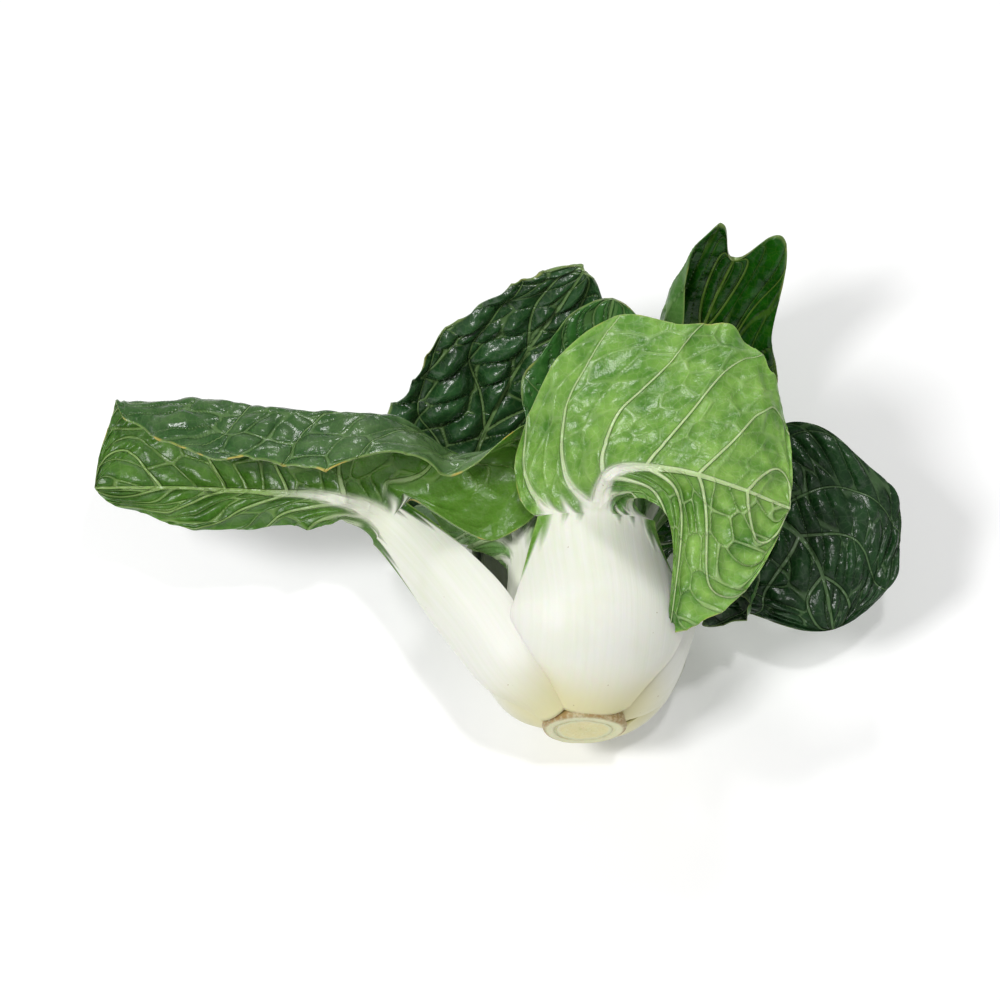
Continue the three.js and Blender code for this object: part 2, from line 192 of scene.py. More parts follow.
profile = [(radius, SLICE_AT) for radius in SLICE_RADII] + STEM_SIDE
turn = np.linspace(0, 2 * math.pi, STEM_TURNS, endpoint=False)
points = []
rings = []
for radius, along in profile:
    wide = radius * (1 + 0.02 * np.sin(3 * turn + 1) + 0.012 * np.sin(5 * turn))
    rough = 0.12 * np.sin(9 * turn + radius) + 0.1 * np.sin(23 * turn + 2 * along)
    marks = KNIFE_MARKS * rough if along < MARKED_BELOW else 0
    dish = HOLLOW * (1 - min(radius, HOLLOW_RADIUS) / HOLLOW_RADIUS) if along < 0 else 0
    points.append(
        FOOT
        + np.outer(wide * np.cos(turn), RIGHT)
        + np.outer(wide * np.sin(turn), UPWARD)
        + np.outer(np.broadcast_to(along + marks + dish, turn.shape), AXIS)
    )
    rings.append(np.full(STEM_TURNS, radius / STEM_RADIUS))
faces = []
for r in range(len(profile) - 1):
    for c in range(STEM_TURNS):
        near, far = r * STEM_TURNS, (r + 1) * STEM_TURNS
        beside = (c + 1) % STEM_TURNS
        faces.append((near + c, near + beside, far + beside, far + c))
faces.append(tuple(reversed(range(STEM_TURNS))))
faces.append(tuple(range((len(profile) - 1) * STEM_TURNS, len(profile) * STEM_TURNS)))
stem = surface(
    "cut_stem", np.concatenate(points) + HEAD_AT, faces, stem_finish, {"radius": np.concatenate(rings)}
)
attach(stem, "root")
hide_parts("stem")

# Outermost leaf, on the left: its white stalk leans out from the foot of the bulb. The blade
# starts in curled lobes beside the neck, and its far margin has turned over along a soft fold,
# so the dark upper side shows as a band. It is one growth: stalk, midrib and blade.

# Stations number the way along a leaf: 0 at its foot, NECK where its stalk ends, TIP at its tip
NECK = 3
TIP = 7
BLADE_START = 3.015
# Shares of a leaf's rows that its stalk, its round base, its middle and its round tip take
STALK_ROWS = 0.19
BASE_ROWS = 0.16
MIDDLE_ROWS = 0.4
TIP_ROWS = 0.25
MARGIN_CROWDING = 1.25
# Shares of the blade's length: its round base, where its round tip starts, and its hanging lobes
BASE_ROUND = 0.1
TIP_ROUND_FROM = 0.6
LOBE_LENGTH = 0.22
# The share of its width by which the margin waves in and out
LOBING = 0.045
# Thicknesses and widths, in mm, and the steps in which a sheet is bent across
SHEET = 0.8
STALK_EDGE = 1.3
FOLD_WIDTH = 6
NOTCH_WIDTH = 7
SWEEP_OVER = 30
FLOOR_BLEND = 2
BEND_STEPS = 12
# Side ribs to a side, how far they sweep forward, and what veins raise below and sink above, in mm
RIB_PANELS = 5
RIB_SWEEP = 0.32
RIB_CORD = 0.5
NET_CORD = 0.16
RIB_GROOVE = 0.12
# How far from the neck the veins stay wide, in mm
NECK_LENGTH = 14


def through(points, share):
    """A smooth curve through evenly spaced stations, at a share of its length from 0 to 1."""
    points = np.array(points, float)
    padded = np.concatenate([[2 * points[0] - points[1]], points, [2 * points[-1] - points[-2]]])
    along = np.clip(share, 0, 1) * (len(points) - 1)
    i = np.minimum(along.astype(int), len(points) - 2)
    w = (along - i)[..., None]
    before, start, end, after = (padded[i + k] for k in range(4))
    leave = 0.5 * (end - before)
    arrive = 0.5 * (after - start)
    bend = (2 * start - 2 * end + leave + arrive) * w**3
    return bend + (3 * end - 3 * start - 2 * leave - arrive) * w**2 + leave * w + start


def blend(x, start, end):
    """0 up to start, 1 from end on, and smooth between."""
    s = np.clip((x - start) / (end - start), 0, 1)
    return s * s * (3 - 2 * s)


def unit(v):
    return v / np.linalg.norm(v, axis=-1, keepdims=True)


def outward(angle):
    """Straight out from the head's axis: 0 degrees is to the right and 90 is up."""
    return math.cos(math.radians(angle)) * RIGHT + math.sin(math.radians(angle)) * UPWARD


def leaf_curves(leaf):
    """What changes from foot to tip: the midrib, its facing, the stalk's and the blade's form."""
    foot_out, foot_along = leaf["foot"]
    neck_out, neck_along = leaf["neck"]
    first, last = leaf["azimuth"]
    half, thick = leaf["half"], leaf["thick"]
    # The first four stations are these shares of the way from the foot to the neck
    shares = [0, 0.14, 0.5, 1]
    outs = [foot_out, foot_out + 0.62 * (leaf["belly"] - foot_out), leaf["belly"], neck_out]
    rib = [
        FOOT
        + AXIS * (foot_along + share * (neck_along - foot_along))
        + out * outward(first + share * (last - first))
        for share, out in zip(shares, outs)
    ]
    under = [outward(first + share * (leaf["facing"] - first)) for share in shares]
    # At each station, the stalk's half width as a share of half, and how round it is across
    widths = [0.42, 0.84, 1, 0.62, 0.3, 0.2, 0.14, 0.1]
    bends = [1.7, 1.1, 0.92, 1.1, 0.6, 0.3, 0.2, 0.1]
    # How thick the flesh is, how wide, and how far it stands out of the underside
    flesh = [
        (0.5 * thick, 0.36 * half, 0),
        (0.95 * thick, 0.82 * half, 0),
        (thick, half, 0),
        (0.62 * thick, 0.62 * half, 0),
        (1.6, 0.28 * half, 0.06 * half),
        (SHEET, 0.18 * half, 0.06 * half),
        (SHEET, 0.13 * half, 0.045 * half),
        (SHEET, 0.08 * half, 0.02 * half),
    ]
    return {
        "rib": rib + [np.array(p, float) for p in leaf["rib"]],
        "under": under + [unit(np.array(p, float)) for p in leaf["under"]],
        "stalk": [(w * half, b / half) for w, b in zip(widths, bends)],
        "blade": list(zip(leaf["left"], leaf["right"], leaf["curl"])),
        "flesh": flesh,
    }


def cells(x, y, seed):
    """How far the nearest and the second nearest of a scatter of points are, one to a unit square."""
    near = np.full(x.shape, 9.0)
    second = near.copy()
    for i in (-1, 0, 1):
        for j in (-1, 0, 1):
            cx = np.floor(x) + i
            cy = np.floor(y) + j
            jx = np.mod(np.sin(cx * 127.1 + cy * 311.7 + seed) * 43758.5453, 1)
            jy = np.mod(np.sin(cx * 269.5 + cy * 183.3 + seed) * 43758.5453, 1)
            d = np.hypot(cx + 0.12 + 0.76 * jx - x, cy + 0.12 + 0.76 * jy - y)
            second = np.minimum(second, np.maximum(near, d))
            near = np.minimum(near, d)
    return near, second


def ripple(x, y, seed, waves=5):
    """A smooth uneven swell between about -1 and 1, from a few crossing waves."""
    total = 0
    for k in range(waves):
        a = seed + 2.4 * k
        crossing = x * math.cos(a) + y * math.sin(a)
        total = total + np.sin((1 + 0.45 * k) * crossing + 1.7 * a) / (1 + 0.35 * k)
    return total / 2.6


def stations(rows):
    """The stations of a leaf's rows, closer together where its base and its tip are round."""
    base = 1 - np.cos(np.linspace(0, math.pi / 2, int(BASE_ROWS * rows)))
    tip = np.sin(np.linspace(0, math.pi / 2, int(TIP_ROWS * rows)))
    middle = np.linspace(BASE_ROUND, TIP_ROUND_FROM, int(MIDDLE_ROWS * rows) + 2)[1:-1]
    t = np.concatenate([BASE_ROUND * base, middle, TIP_ROUND_FROM + (1 - TIP_ROUND_FROM) * tip])
    stalk = np.linspace(0, BLADE_START, int(STALK_ROWS * rows), endpoint=False)
    return np.concatenate([stalk, BLADE_START + (TIP - BLADE_START) * t])


def leaf_sheet(leaf):
    """The smooth middle sheet of a leaf, walked across from its midrib, and where its points are."""
    curves = leaf_curves(leaf)
    rows, columns = leaf["fine"]
    crowded = np.sin(np.linspace(-1, 1, columns) * MARGIN_CROWDING) / math.sin(MARGIN_CROWDING)
    station, v = np.broadcast_arrays(stations(rows)[:, None], crowded[None, :])
    sign = np.where(v < 0, -1.0, 1.0)
    edge = abs(v)
    t = np.clip((station - BLADE_START) / (TIP - BLADE_START), 0, 1)
    stalk = through(curves["stalk"], station / TIP)
    stalk_half = stalk[..., 0]
    blade = through(curves["blade"], t)
    opened = np.sqrt(1 - np.clip(1 - t / BASE_ROUND, 0, 1) ** 2)
    closing = np.sqrt(1 - np.clip((t - TIP_ROUND_FROM) / (1 - TIP_ROUND_FROM), 0, 1) ** 2)
    narrow = through(curves["stalk"], np.minimum(station, NECK) / TIP)[..., 0]
    wide = narrow + (np.where(v < 0, blade[..., 0], blade[..., 1]) - narrow) * opened
    _, waves, phase = leaf["ruffle"]
    lobing = 1 + LOBING * opened * np.sin(2 * np.pi * (1.7 * waves * t + 2 * phase + 0.3 * sign))
    nibble = 1 - leaf["torn"] * opened * blend(ripple(24 * t, 7 * sign, leaf["seed"]), 0.2, 1.1)
    reach = wide * closing * lobing * nibble
    q = edge * reach

    # A notched tip is drawn back along the midrib
    split = leaf["notch"] * np.exp(-((q / NOTCH_WIDTH) ** 2)) * blend(t, 0.6, 1)
    share = (station - split) / TIP
    rib = through(curves["rib"], share)
    along = unit(through(curves["rib"], share + 0.05) - through(curves["rib"], share - 0.05))
    under = through(curves["under"], share)
    under = unit(under - along * (under * along).sum(-1, keepdims=True))
    across = np.cross(along, under)

    fold_side, fold_angle, fold_place, fold_start, fold_full = leaf["fold"]
    folded = np.where(sign == fold_side, fold_angle, 0) * blend(t, fold_start, fold_full)

    def heading(x):
        """How far the sheet has turned, in radians, at x mm from the midrib."""
        gentle = stalk[..., 1] * np.minimum(x, stalk_half) + blade[..., 2] * np.maximum(0, x - stalk_half)
        return gentle + folded * blend(x, fold_place - FOLD_WIDTH, fold_place + FOLD_WIDTH)

    sheet = rib.copy()
    for k in range(BEND_STEPS):
        turned = heading((k + 0.5) / BEND_STEPS * q)
        sheet += across * (sign * np.cos(turned) * q / BEND_STEPS)[..., None]
        sheet -= under * (np.sin(turned) * q / BEND_STEPS)[..., None]
    turned = heading(q)
    normal = under * np.cos(turned)[..., None] + across * (sign * np.sin(turned))[..., None]

    # The lobes at the blade's base hang back past the neck, and one side may trail further
    lobe = np.where(v < 0, leaf["lobe"][0], leaf["lobe"][1])
    fading = np.clip(1 - t / LOBE_LENGTH, 0, 1) ** 2
    hang = lobe * fading * blend(q, stalk_half + 1.5, stalk_half + 11) * (t > 0)
    sheet += (-along + 0.5 * normal - 0.5 * sign[..., None] * across) * hang[..., None]
    trail = leaf["sweep"] * (sign > 0) * (1 - t) ** 1.5 * blend(q, stalk_half + 2, SWEEP_OVER) * (t > 0)
    trail = trail * (0.6 + 0.4 * blend(t, 0, 0.12))
    sheet += (-along + 0.4 * normal + 0.3 * across) * trail[..., None]
    return {
        "curves": curves, "station": station, "v": v, "sign": sign, "edge": edge, "t": t, "q": q,
        "sheet": sheet, "normal": normal, "under_z": under[..., 2], "closing": closing,
        "stalk_half": stalk_half, "tissue": opened * blend(t, 0.0, 0.03),
    }


def veins(leaf, g):
    """Side ribs leave the midrib in even steps and sweep forward, with a net between them."""
    t, edge, q = g["t"], g["edge"], g["q"]
    wobble = leaf["wander"] * np.sin(5 * edge + 9 * t + 3 * g["sign"] + leaf["seed"])
    step = RIB_PANELS * (t - RIB_SWEEP * edge) + wobble * edge
    # How fast the step climbs for each mm over the bent sheet
    down = np.gradient(g["sheet"], axis=0)
    over = np.gradient(g["sheet"], axis=1)
    dd = (down * down).sum(-1)
    oo = (over * over).sum(-1)
    do = (down * over).sum(-1)
    sd = np.gradient(step, axis=0)
    so = np.gradient(step, axis=1)
    steepness = (sd * sd * oo - 2 * sd * so * do + so * so * dd) / (dd * oo - do * do + 1e-6)
    slope = np.sqrt(np.maximum(steepness, 1e-9))
    side_rib = abs(step - np.round(step)) / slope
    reached = np.cumsum(np.linalg.norm(down, axis=-1), axis=0)
    from_neck = np.clip(reached - reached[int(STALK_ROWS * leaf["fine"][0])], 0, None)
    near_neck = np.exp(-from_neck / NECK_LENGTH)
    rib_half = 0.45 + 1.1 * (1 - t) ** 2 + leaf["stub"] * near_neck
    side_half = 0.2 + 0.3 * (1 - edge) + 1.1 * near_neck
    row = from_neck / leaf["cell"] if leaf["quilted"] else 2.2 * step
    first, second = cells(q / leaf["cell"] + 40 * g["sign"], row, leaf["seed"])
    gap = (second - first) * leaf["cell"] * 0.45
    ribbed = blend(t, leaf["bare"], leaf["bare"] + 0.05)
    return {
        "reached": reached, "near_neck": near_neck, "step": step, "side_rib": side_rib, "gap": gap,
        "mid": np.exp(-((q / rib_half) ** 4)), "mid_place": q / rib_half, "ribbed": ribbed,
        "side": np.exp(-((side_rib / side_half) ** 2)) * ribbed, "rib_scale": 1 / (slope * side_half),
        "net": np.exp(-((gap / 0.28) ** 2)),
    }


def puffiness(leaf, g):
    """How blistered each place is: a share of its own for each side, and uneven patches."""
    puffed = np.where(g["v"] < 0, leaf["puffed"][0], leaf["puffed"][1]) * np.ones_like(g["q"])
    patches = blend(ripple(g["reached"] / 14, g["q"] / 14, leaf["seed"] + 2), -0.5, 0.5)
    return puffed * (0.55 + 0.45 * patches)


def raised(leaf, g, puffed):
    """How far waves, swells between the ribs and blisters lift the sheet towards its underside."""
    t, edge, q, tissue = g["t"], g["edge"], g["q"], g["tissue"]
    blade = blend(t, 0.02, 0.2) * g["closing"]
    panel = 0.5 - 0.5 * np.cos(2 * np.pi * g["step"])
    height, waves, phase = leaf["ruffle"]
    wave = height * edge**2.5 * np.sin(2 * np.pi * (waves * t + phase + np.where(g["v"] < 0, 0.37, 0)))
    frill = 0.25 * height * edge**6 * np.sin(2 * np.pi * (3.7 * waves * t + 3 * phase) + g["sign"])
    broken = 0.65 + 0.6 * ripple(g["reached"] / 5, q / 4, leaf["seed"] + 1)
    swell = leaf["relief"] * panel * broken * np.minimum(1, 4 * edge) * (1 - 0.4 * edge)
    rise = np.clip(g["gap"] / (0.36 * leaf["cell"]), 0, 1)
    dome = rise * (2 - rise) * np.sqrt(blend(g["side_rib"], 0, 0.4 * leaf["cell"])) * (1 - g["mid"])
    blister = leaf["blister"] * puffed * dome * tissue * np.minimum(1, g["closing"] * 1.5)
    bumps = ripple(g["reached"] / 6, q / 6, leaf["seed"])
    uneven = 0.5 * leaf["blister"] * bumps * tissue * blend(edge, 0.1, 0.4)
    return blade * (wave - swell) + frill * blade - blister + uneven


def lie(points, rest):
    """What would sink into the surface below lies flat on it at height rest."""
    y = points[..., 2] - rest
    soft = np.where(y > -FLOOR_BLEND, (y + FLOOR_BLEND) ** 2 / (4 * FLOOR_BLEND), 0)
    points[..., 2] = np.where(y < FLOOR_BLEND, rest + soft, points[..., 2])
    return points


def two_sides(leaf, g, offset):
    """The underside, with its raised veins, and the upper side, with the stalk's flesh between."""
    edge, normal, tissue = g["edge"], g["normal"], g["tissue"]
    sheet = g["sheet"] + normal * offset[..., None]
    flesh = through(g["curves"]["flesh"], g["station"] / TIP)
    in_rib = np.clip(1 - (g["q"] / flesh[..., 1]) ** 2.5, 0, 1)
    thin = STALK_EDGE + (SHEET - STALK_EDGE) * blend(g["station"], 2, NECK + 0.6)
    margin = 1 - 0.45 * blend(edge, 0.93, 1)
    inside = (thin + np.maximum(0, flesh[..., 0] - thin) * in_rib) * margin
    cord = RIB_CORD * g["side"] * (1 - 0.6 * edge) + NET_CORD * g["net"] * tissue
    outside = flesh[..., 2] * in_rib + cord * tissue * leaf["cords"]
    outer = sheet + normal * outside[..., None]
    inner = sheet - normal * (inside - RIB_GROOVE * g["side"] * tissue)[..., None]
    low = (g["under_z"] < 0)[..., None]
    outer = np.where(low, lie(outer.copy(), 0), outer)
    inner = np.where(low, lie(inner.copy(), np.minimum(inside, SHEET + 0.5)), inner)
    return outer, inner


def closed_faces(rows, columns):
    """The faces of two sides of rows by columns points, and of the four strips that join them."""
    count = rows * columns
    grid = np.arange(count).reshape(rows, columns)
    a, b, c, d = grid[:-1, :-1], grid[:-1, 1:], grid[1:, 1:], grid[1:, :-1]
    top = np.stack([a, b, c, d], -1).reshape(-1, 4)
    bottom = np.stack([d, c, b, a], -1).reshape(-1, 4) + count
    strips = [
        np.stack([start, end, end + count, start + count], -1)
        for start, end in (
            (grid[:-1, 0], grid[1:, 0]),
            (grid[1:, -1], grid[:-1, -1]),
            (grid[0, 1:], grid[0, :-1]),
            (grid[-1, :-1], grid[-1, 1:]),
        )
    ]
    return np.concatenate([top, bottom, *strips]).tolist()


def colouring(leaf, g, puffed):
    """What the material reads at each point: where it is green, by a vein, at the rim or aged."""
    t, edge, q, station = g["t"], g["edge"], g["q"], g["station"]
    start = 0.35 + 1.3 * np.clip(edge - 0.6, 0, 1)
    wedge = 0.1 + 0.1 * np.cos(2 * np.pi * (4.3 * edge + 0.5 * g["sign"] * t) + leaf["seed"])
    green = blend(station - NECK + start - wedge, 0.2, 0.44)
    beside = blend(q, g["stalk_half"] + 0.5, g["stalk_half"] + 3) * (station >= BLADE_START)
    green = np.maximum(green, beside)
    green = green * np.clip(1 - 1.3 * g["mid"] * blend(t, 0.5, 0.2), 0, 1)
    white_rib = g["near_neck"] ** 1.5 * g["side"] * (1 - 0.7 * beside)
    green = green * np.clip(1 - 1.6 * white_rib, 0, 1)
    widest = q.max(1, keepdims=True)

    def both(value):
        """One value for a point of the underside and its partner on the upper side."""
        return np.concatenate([value.ravel(), value.ravel()])

    return {
        "green": both(green),
        "step": both(g["step"]),
        "rib_scale": both(g["rib_scale"]),
        "mid_place": both(g["mid_place"]),
        "gap": both(g["gap"] + 3 * (1 - g["tissue"])),
        "edge": both(edge),
        "puffed": both(puffed),
        "tender": both(leaf["tender"] * beside * (1 - blend(t, 0.12, 0.3))),
        "blade": both(blend(station, NECK - 0.1, NECK + 0.2)),
        "ribbed": both(g["ribbed"]),
        "rim": both(blend(q, widest - 0.6, widest - 0.1)),
        "aged": both(np.clip(station / NECK, 0, 1)),
        "under": np.concatenate([np.ones(q.size), np.zeros(q.size)]),
        "lie": np.stack([both(g["reached"]), both(q * g["sign"]), both(0 * q)], -1) / MM_PER_M,
    }


def weld(piece):
    """Joins the points that meet at the tip, and turns every face outward."""
    work = bmesh.new()
    work.from_mesh(piece.data)
    bmesh.ops.remove_doubles(work, verts=work.verts, dist=1e-6)
    bmesh.ops.dissolve_degenerate(work, edges=work.edges, dist=1e-7)
    bmesh.ops.recalc_face_normals(work, faces=work.faces)
    work.to_mesh(piece.data)
    work.free()


STALK_WHITE = (0.8, 0.8, 0.74, 1)
STALK_STREAK = (0.76, 0.78, 0.68, 1)
STALK_CLOUD = (0.68, 0.72, 0.52, 1)
NECK_GREEN = (0.62, 0.7, 0.42, 1)
FOOT_CREAM = (0.72, 0.68, 0.38, 1)
SPECK_BROWN = (0.35, 0.24, 0.1, 1)
RIM_PALE = (0.33, 0.45, 0.13, 1)
RIM_YELLOW = (0.55, 0.4, 0.07, 1)


def leaf_finish(leaf):
    """Waxy white stalk that turns into the green of the blade, glossy above and paler below."""
    made, ask, place, shader = material(
        "leaf " + leaf["name"].replace("_", " "), Subsurface_Weight=leaf["glow"], Subsurface_Scale=0.003,
        Subsurface_Radius=(0.5, 1.0, 0.25), Specular_IOR_Level=leaf["shine"],
    )
    names = ("green", "rim", "aged", "under", "edge", "puffed", "gap", "rib_scale")
    green, rim, aged, under, edge, puffed, gap, rib_scale = (ask.stored(name) for name in names)
    off_rib = ask.stored("step").beyond_half() * rib_scale
    broad = ask.noise(place, 45)
    mottle = ask.noise(place, 260, 4)
    pucker = ask.noise(place, 150, 1.5)
    grain = ask.noise(place, 1500, 2)
    along_stalk = ask.stretched(ask.node("Attribute", {"attribute_name": "lie"}, {}, 1), (25, 700, 1))
    streak = ask.noise(along_stalk, 1.0, 4)

    # Veins: the midrib, the side ribs, the net between them and a finer net inside that
    middle = 1 - ask.stored("mid_place").between(0.8, 1.15)
    side = (1 - off_rib.between(0.55, 1.25)) * (1 - 0.25 * edge)
    side = side * ask.stored("ribbed")
    net = 1 - gap.between(0.12, 0.5)
    fine = 1 - ask.cell_edges(place, 420).between(0.0, 0.09)
    rib = ask.math("MAXIMUM", middle, side) * ask.stored("blade")
    line = ask.math("MAXIMUM", rib, ask.math("MAXIMUM", (0.1 + leaf["net"] * puffed) * net, 0.14 * fine))

    # Stalk: white, tinged green towards the neck and cream at the foot
    white = streak.between(0.25, 0.85).mix(STALK_WHITE, STALK_STREAK)
    white = (0.3 * aged.between(0.55, 1.05) * streak.between(0.2, 0.8)).mix(white, NECK_GREEN)
    white = (0.3 * broad.between(0.45, 0.65)).mix(white, STALK_CLOUD)
    white = (1 - aged.between(0.0, 0.45)).mix(white, FOOT_CREAM)
    speck = (ask.noise(place, 620, 1) - 0.79).between(0, 0.03)
    white = (0.6 * speck).mix(white, SPECK_BROWN)

    # Blade: each side's green, with paler veins and margin. The hollows by the veins get painted shade and
    # the tops of the puckers a painted light, over uneven tone
    hollow_shade = ask.math("MINIMUM", gap * 0.4, off_rib * 0.14)
    hollow_shade = (0.5 + puffed * (hollow_shade.between(0, 1) - 0.5)) * 0.6 + 0.4 * pucker.between(0.35, 0.65)
    shade = 0.6 * hollow_shade + 0.2 * mottle.between(0.3, 0.7) + 0.4 * broad.between(0.35, 0.7)
    shade = shade - 0.12 + ask.stored("tender")
    below_dark, below_light, below_vein = leaf["below"]
    above_dark, above_light, above_vein = leaf["above"]
    below = (line * 0.85).mix(shade.mix(below_dark, below_light), below_vein)
    above = (line * 0.6).mix(shade.mix(above_dark, above_light), above_vein)
    skin = under.mix(above, below)
    skin = (rim * (0.15 + 0.5 * mottle)).mix(skin, RIM_PALE)
    yellowed = 6 * leaf["torn"] * rim * ask.noise(place, 130, 1).between(0.56, 0.64)
    skin = yellowed.mix(skin, RIM_YELLOW)

    gloss = 0.17 + 0.09 * under * green + 0.14 * mottle + 0.3 * (1 - green)
    ridge = (0.9 * rib + 0.45 * net * puffed) * (2.2 * under - 1.1)
    relief = (ridge + 2.3 * pucker + 0.5 * mottle + 0.08 * grain) * green + 0.14 * streak * (1 - green)
    green.mix(white, skin).feed(shader, "Base Color")
    gloss.feed(shader, "Roughness")
    ask.bump(relief, 0.0009, 0.9).feed(shader, "Normal")
    return made


def grow(leaf):
    """The whole leaf as one closed mesh: stalk, midrib and blade."""
    g = leaf_sheet(leaf)
    g.update(veins(leaf, g))
    puffed = puffiness(leaf, g)
    outer, inner = two_sides(leaf, g, raised(leaf, g, puffed))
    points = np.concatenate([outer.reshape(-1, 3), inner.reshape(-1, 3)]) + HEAD_AT
    faces = closed_faces(*g["q"].shape)
    piece = surface("leaf_" + leaf["name"], points, faces, leaf_finish(leaf), colouring(leaf, g, puffed))
    weld(piece)
    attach(piece, "root")
    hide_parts("stalk_" + leaf["name"], "blade_" + leaf["name"])


# What a leaf's values say. Lengths are in mm, and left and right are as seen on its underside.
# seed, fine: where its uneven patterns start, and the rows and columns of its grid
# azimuth, facing: the angles round the axis of its foot and its neck, and of its neck's underside
# foot, neck, belly: how far out and along the axis its stalk starts and ends, and how far out it swells
# half, thick: the stalk's half width and thickness
# rib, under: four points of the midrib from the neck to the tip, and where the underside faces there
# left, right, curl: the blade's half widths and its turn in radians per mm, from base to tip
# fold: its side, its angle in radians, how far out it is, and the shares of the blade where it sets in
# lobe, sweep: how far the blade's base hangs back on each side, and how far the right side trails
# notch, torn: how deep the tip's notch is, in stations, and the nibbles, as a share of the width
# ruffle: the height, the number and the start of the margin's waves
# relief, cell, blister: how high the panels swell, and the size and height of the puckers on them
# puffed, quilted: how strong the puckers are, and whether they keep one size from base to tip
# cords, stub: how strongly the veins stand out, and how much wider the midrib's line is at the neck
# bare: the share of the blade, from its base, that has no side ribs
# wander, net: how uneven the side ribs run, and how pale the net between them is
# tender, shine, glow: how much lighter the green is by the neck, its gloss, and the light it lets in
# below, above: the dark green, which the painted shade of the hollows takes, the light green and the vein
# colour of its underside and its upper side
PALE_VEIN = (0.22, 0.36, 0.12, 1)
LEAF = {
    "slot": "blade", "fold": (0, 0, 0, 0, 1), "sweep": 0, "notch": 0, "relief": 1.3, "puffed": (1, 1),
    "quilted": False, "cords": 1, "stub": 1.6, "bare": -0.05, "wander": 0.12, "tender": 0, "shine": 0.5,
    "glow": 0,
}
grow({
    **LEAF, "name": "left", "seed": 1.3, "fine": (300, 148),
    "azimuth": (130, 162), "facing": 126, "foot": (12.5, -1), "neck": (56, 52), "belly": 40,
    "half": 13, "thick": 8,
    "rib": [(-68, 53, 59), (-88, 55, 59), (-110, 58, 56), (-134, 62, 49)],
    "under": [(-0.2, -0.6, 0.72), (-0.1, -0.7, 0.7), (0, -0.65, 0.75), (0, -0.6, 0.8)],
    "left": (5, 8, 11, 12, 10), "right": (40, 44, 47, 46, 40), "curl": (0.01, 0.006, 0.004, 0.004, 0.006),
    "fold": (1, -2.4, 24, 0.04, 0.2), "lobe": (2, 22), "sweep": 24, "torn": 0.12, "ruffle": (2, 2.6, 0.1),
    "cell": 7.5, "blister": 1.1, "stub": 2.2, "bare": 0.05, "wander": 0.18, "net": 0.5,
    "tender": 0.6, "glow": 0.15,
    # Its underside greens are darker than the other leaves', as painted shade for the shade under its folded
    # band
    "below": ((0.015, 0.07, 0.002, 1), (0.1, 0.23, 0.025, 1), (0.27, 0.41, 0.12, 1)),
    "above": ((0.01, 0.06, 0.006, 1), (0.09, 0.17, 0.055, 1), PALE_VEIN),
})

# Lowest leaf, on the right: it lies under the bulb, which has pressed its stalk flat, runs along
# the surface and then stands up behind. Its tip is notched and one margin has folded over.
grow({
    **LEAF, "name": "under_right", "seed": 4.1, "fine": (250, 116),
    "azimuth": (293, 293), "facing": 290, "foot": (11, -1), "neck": (31, 56), "belly": 35,
    "half": 25, "thick": 8.5,
    "rib": [(20, 79, 0), (30, 105, 2), (37, 127, 33), (52, 138, 83)],
    "under": [(0.1, 0.1, -1), (0.05, 0.4, -0.92), (0.05, 0.85, -0.5), (0, 0.97, -0.25)],
    "left": (20, 22, 26, 24, 19), "right": (20, 24, 28, 24, 20), "curl": (0.02, 0.02, 0.02, 0.02, 0.02),
    "fold": (1, 2.75, 15, 0.3, 0.5), "lobe": (3, 3), "notch": 0.5, "torn": 0.04, "ruffle": (2, 2.4, 0.4),
    "relief": 1.2, "cell": 8, "blister": 0.8, "net": 0.35, "shine": 0.3,
    "below": ((0.06, 0.17, 0.03, 1), (0.12, 0.26, 0.06, 1), (0.3, 0.45, 0.18, 1)),
    "above": ((0.001, 0.025, 0.0005, 1), (0.01, 0.1, 0.002, 1), (0.16, 0.27, 0.04, 1)),
})

# Front leaf: a broad teardrop stalk whose bright young blade falls over to the right, so that it
# shows its paler underside, with raised veins and puckered panels between them.
grow({
    **LEAF, "name": "front", "slot": "young_blade", "seed": 7.7, "fine": (296, 160),
    "azimuth": (78, 82), "facing": 84, "foot": (10.5, -1), "neck": (29, 50), "belly": 34.5,
    "half": 28, "thick": 8.5,
    "rib": [(8, 53, 73), (23, 50, 79), (39, 46, 77), (54, 44, 69)],
    "under": [(-0.1, -0.5, 0.86), (0.1, -0.5, 0.86), (0.35, -0.45, 0.82), (0.6, -0.4, 0.7)],
    "left": (22, 38, 44, 42, 36), "right": (9, 9, 12, 48, 42), "curl": (0.012, 0.012, 0.012, 0.014, 0.014),
    "lobe": (2, 0), "torn": 0.05, "ruffle": (2, 2.2, 0.2),
    "cell": 7.5, "blister": 1.1, "puffed": (0.25, 1.1), "cords": 1.2, "net": 0.32, "glow": 0.3,
    "below": ((0.03, 0.15, 0.002, 1), (0.3, 0.52, 0.1, 1), (0.54, 0.68, 0.34, 1)),
    "above": ((0.03, 0.14, 0.01, 1), (0.07, 0.24, 0.03, 1), PALE_VEIN),
})

